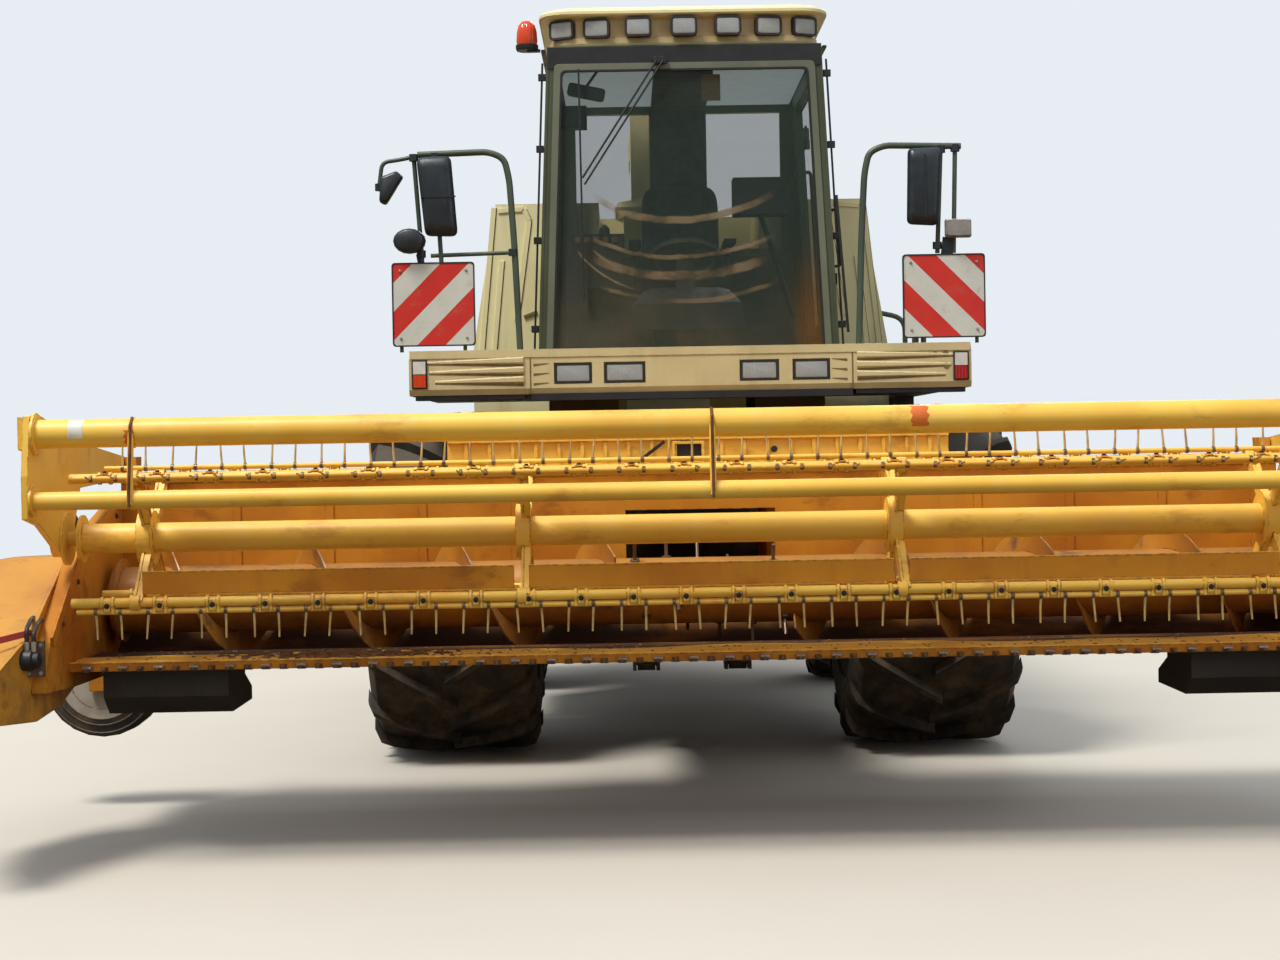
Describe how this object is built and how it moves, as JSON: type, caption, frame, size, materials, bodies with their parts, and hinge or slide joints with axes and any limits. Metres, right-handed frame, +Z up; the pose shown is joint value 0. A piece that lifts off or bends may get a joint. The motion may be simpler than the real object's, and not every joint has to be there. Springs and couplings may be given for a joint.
{
  "type": "self-propelled forage harvester with a whole-crop header",
  "caption": "Cream forage harvester with a high cab, spout folded to the rear, large front tyres and a raised golden header with reel, auger and cutterbar.",
  "frame": {"origin": "on the ground below the middle of the whole machine", "axes": "+Z up, -Y ahead, +X to the machine's left"},
  "size_m": [6.3, 9.25, 4.188],
  "materials": {
    "cream_body": "pale cream paint, slightly dull",
    "header_yellow": "worn golden yellow paint",
    "dark_green": "dark green paint",
    "chassis_dark": "dark dusty paint",
    "engine_iron": "dull casting",
    "worn_steel": "worn bare steel",
    "rod_chrome": "hard chrome",
    "barrel_paint": "dark paint",
    "tyre_rubber": "dusty rubber",
    "rim_paint": "cream paint",
    "clear_glass": "tinted glass",
    "lamp_glass": "clear lens over a reflector",
    "beacon_orange": "clear orange plastic",
    "warning_sheet": "red and white stripes",
    "seat_fabric": "dark woven cover",
    "inside_plastic": "dark grained plastic"
  },
  "bodies": {
    "machine": {"chassis_frame": "chassis_dark", "front_axle": "chassis_dark", "rear_axle": "chassis_dark", "engine_block": "engine_iron", "chopper_housing": "chassis_dark", "side_tanks": "chassis_dark", "hitch": "chassis_dark", "platform": "chassis_dark", "ladder": "chassis_dark", "front_bumper": "cream_body", "cab_shell": "dark_green", "cab_glass": "clear_glass", "cab_roof": "cream_body", "lamps": "lamp_glass", "beacon": "beacon_orange", "seat": "seat_fabric", "controls": "inside_plastic", "side_console": "inside_plastic", "mirror_rail_left": "dark_green", "mirror_rail_right": "dark_green", "warning_plates": "warning_sheet", "side_fairings": "cream_body", "rear_body": "cream_body", "exhaust": "worn_steel", "spout_base": "cream_body"},
    "wheel_front_left": {"tyre_front_left": "tyre_rubber", "rim_front_left": "rim_paint"},
    "wheel_front_right": {"tyre_front_right": "tyre_rubber", "rim_front_right": "rim_paint"},
    "wheel_rear_left": {"tyre_rear_left": "tyre_rubber", "rim_rear_left": "rim_paint"},
    "wheel_rear_right": {"tyre_rear_right": "tyre_rubber", "rim_rear_right": "rim_paint"},
    "knuckle_left": {"knuckle_left": "chassis_dark"},
    "knuckle_right": {"knuckle_right": "chassis_dark"},
    "steering_rod": {"steering_rod": "rod_chrome"},
    "cab_door": {"cab_door": "dark_green", "door_glass": "clear_glass"},
    "service_door_left": {"service_door_left": "cream_body"},
    "service_door_right": {"service_door_right": "cream_body"},
    "turret": {"spout_turret": "cream_body"},
    "boom": {"spout_boom": "cream_body"},
    "flap": {"spout_flap": "cream_body"},
    "header": {"feed_housing": "chassis_dark", "adapter_frame": "header_yellow", "header_frame": "header_yellow", "cutterbar": "worn_steel", "header_skids": "chassis_dark", "crop_dividers": "header_yellow"},
    "auger": {"auger": "header_yellow"},
    "reel": {"reel": "header_yellow"},
    "reel_frame": {"reel_frame": "header_yellow"},
    "header_wheel": {"header_wheel": "tyre_rubber"},
    "lift_barrels": {"lift_barrels": "barrel_paint"},
    "lift_rods": {"lift_rods": "rod_chrome"},
    "reel_barrels": {"reel_barrels": "barrel_paint"},
    "reel_rods": {"reel_rods": "rod_chrome"}
  },
  "joints": [
    {"name": "front_left_spin", "type": "hinge", "parent": "machine", "child": "wheel_front_left", "pos_m": [1.29, -0.725, 0.945], "axis": [1, 0, 0], "continuous": true},
    {"name": "front_right_spin", "type": "hinge", "parent": "machine", "child": "wheel_front_right", "pos_m": [-1.29, -0.725, 0.945], "axis": [1, 0, 0], "continuous": true},
    {"name": "steer_left", "type": "hinge", "parent": "machine", "child": "knuckle_left", "pos_m": [0.8, 2.525, 0.73], "axis": [0, 0, 1], "range_deg": [-38, 38]},
    {"name": "steer_right", "type": "hinge", "parent": "machine", "child": "knuckle_right", "pos_m": [-0.8, 2.525, 0.73], "axis": [0, 0, 1], "range_deg": [-38, 38]},
    {"name": "steering_rod_slide", "type": "slide", "parent": "machine", "child": "steering_rod", "axis": [1, 0, 0], "range_m": [-0.145, 0.145]},
    {"name": "rear_left_spin", "type": "hinge", "parent": "knuckle_left", "child": "wheel_rear_left", "pos_m": [1.2, 2.525, 0.73], "axis": [1, 0, 0], "continuous": true},
    {"name": "rear_right_spin", "type": "hinge", "parent": "knuckle_right", "child": "wheel_rear_right", "pos_m": [-1.2, 2.525, 0.73], "axis": [1, 0, 0], "continuous": true},
    {"name": "cab_door_swing", "type": "hinge", "parent": "machine", "child": "cab_door", "pos_m": [0.81252, -0.075, 2.3], "axis": [-0.0449, 0, 0.999], "range_deg": [0, 75]},
    {"name": "service_left_lift", "type": "hinge", "parent": "machine", "child": "service_door_left", "pos_m": [1.14791, 2.575, 3.022], "axis": [0, -1, 0], "range_deg": [0, 75]},
    {"name": "service_right_lift", "type": "hinge", "parent": "machine", "child": "service_door_right", "pos_m": [-1.14791, 2.575, 3.022], "axis": [0, 1, 0], "range_deg": [0, 75]},
    {"name": "spout_turn", "type": "hinge", "parent": "machine", "child": "turret", "pos_m": [-0.08, 0.575, 3.15], "axis": [0, 0, 1], "range_deg": [-95, 95]},
    {"name": "spout_lift", "type": "hinge", "parent": "turret", "child": "boom", "pos_m": [-0.08, 0.941, 4.16], "axis": [1, 0, 0], "range_deg": [0, 30]},
    {"name": "spout_flap_tilt", "type": "hinge", "parent": "boom", "child": "flap", "pos_m": [-0.08, 4.057, 4.082], "axis": [-1, 0, 0], "range_deg": [0, 50]},
    {"name": "header_lift", "type": "hinge", "parent": "machine", "child": "header", "pos_m": [0, -1.075, 1.05], "axis": [-1, 0, 0], "range_deg": [-9, 10]},
    {"name": "lift_barrel_tilt", "type": "hinge", "parent": "machine", "child": "lift_barrels", "pos_m": [0, -1.025, 0.5], "axis": [-1, 0, 0], "range_deg": [-12, 12]},
    {"name": "lift_rod_slide", "type": "slide", "parent": "lift_barrels", "child": "lift_rods", "axis": [0, -0.9881, 0.1537], "range_m": [-0.12, 0.12]},
    {"name": "auger_spin", "type": "hinge", "parent": "header", "child": "auger", "pos_m": [0, -2.975, 1.02], "axis": [1, 0, 0], "continuous": true},
    {"name": "reel_lift", "type": "hinge", "parent": "header", "child": "reel_frame", "pos_m": [0, -2.575, 1.62], "axis": [-1, 0, 0], "range_deg": [0, 22]},
    {"name": "reel_spin", "type": "hinge", "parent": "reel_frame", "child": "reel", "pos_m": [0, -3.675, 1.329], "axis": [1, 0, 0], "continuous": true},
    {"name": "reel_barrel_tilt", "type": "hinge", "parent": "header", "child": "reel_barrels", "pos_m": [0, -2.875, 1.25], "axis": [-1, 0, 0], "range_deg": [-1, 30]},
    {"name": "reel_rod_slide", "type": "slide", "parent": "reel_barrels", "child": "reel_rods", "axis": [0, -0.8824, 0.4706], "range_m": [-0.01, 0.22]},
    {"name": "header_wheel_spin", "type": "hinge", "parent": "header", "child": "header_wheel", "pos_m": [-2.86, -2.435, 0.62], "axis": [0, 1, 0], "continuous": true}
  ],
  "couplings": [
    {"joint": "steer_right", "follows": "steer_left", "ratio": 1},
    {"joint": "steering_rod_slide", "follows": "steer_left", "m_per_rad": -0.21351},
    {"joint": "lift_barrel_tilt", "follows": "header_lift", "ratio": 0.85307},
    {"joint": "lift_rod_slide", "follows": "header_lift", "m_per_rad": 0.53325},
    {"joint": "reel_barrel_tilt", "follows": "reel_lift", "ratio": 0.99965},
    {"joint": "reel_rod_slide", "follows": "reel_lift", "m_per_rad": 0.47342}
  ]
}
